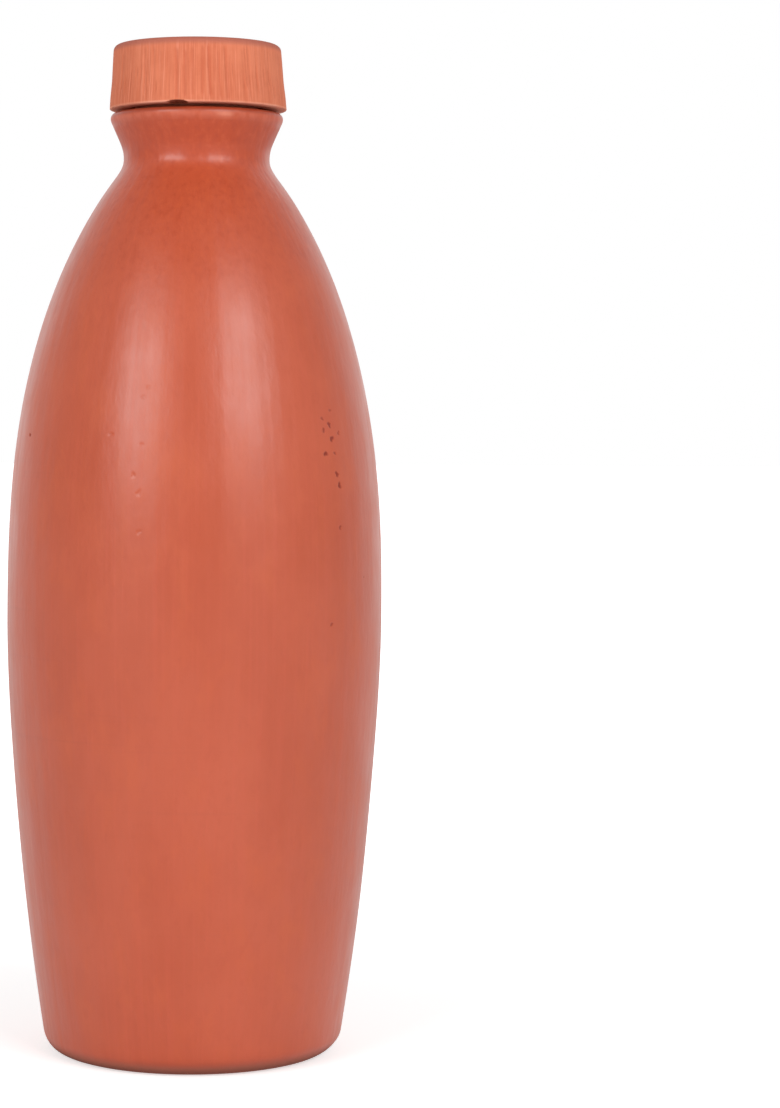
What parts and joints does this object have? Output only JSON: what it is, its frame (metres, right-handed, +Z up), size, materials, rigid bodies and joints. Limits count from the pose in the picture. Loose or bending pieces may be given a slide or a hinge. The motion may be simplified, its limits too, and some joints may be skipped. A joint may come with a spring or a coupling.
{
  "type": "clay water bottle",
  "caption": "Narrow-necked fired clay bottle for drinking water, with a fluted clay screw cap that seals on the mouth's rim through a soft washer.",
  "frame": {"origin": "centre of the foot, on the surface that the bottle stands on", "axes": "+Z up along the bottle's axis and the cap's thread, towards the cap"},
  "size_m": [0.1002, 0.1002, 0.2688],
  "materials": {
    "burnished_clay": "satin",
    "raw_clay": "matte",
    "silicone": "matte"
  },
  "bodies": {
    "bottle": {"bottle_body": "burnished_clay"},
    "seal": {"sealing_washer": "silicone"},
    "cap": {"screw_cap": "raw_clay"}
  },
  "joints": [
    {"name": "cap_lift", "type": "slide", "parent": "bottle", "child": "seal", "axis": [0, 0, 1], "range_m": [0, 0.02]},
    {"name": "cap_turn", "type": "hinge", "parent": "seal", "child": "cap", "pos_m": [0, 0, 0.2516], "axis": [0, 0, 1], "range_deg": [0, 1440]}
  ],
  "couplings": [
    {"joint": "cap_lift", "follows": "cap_turn", "m_per_rad": 0.00079577}
  ]
}
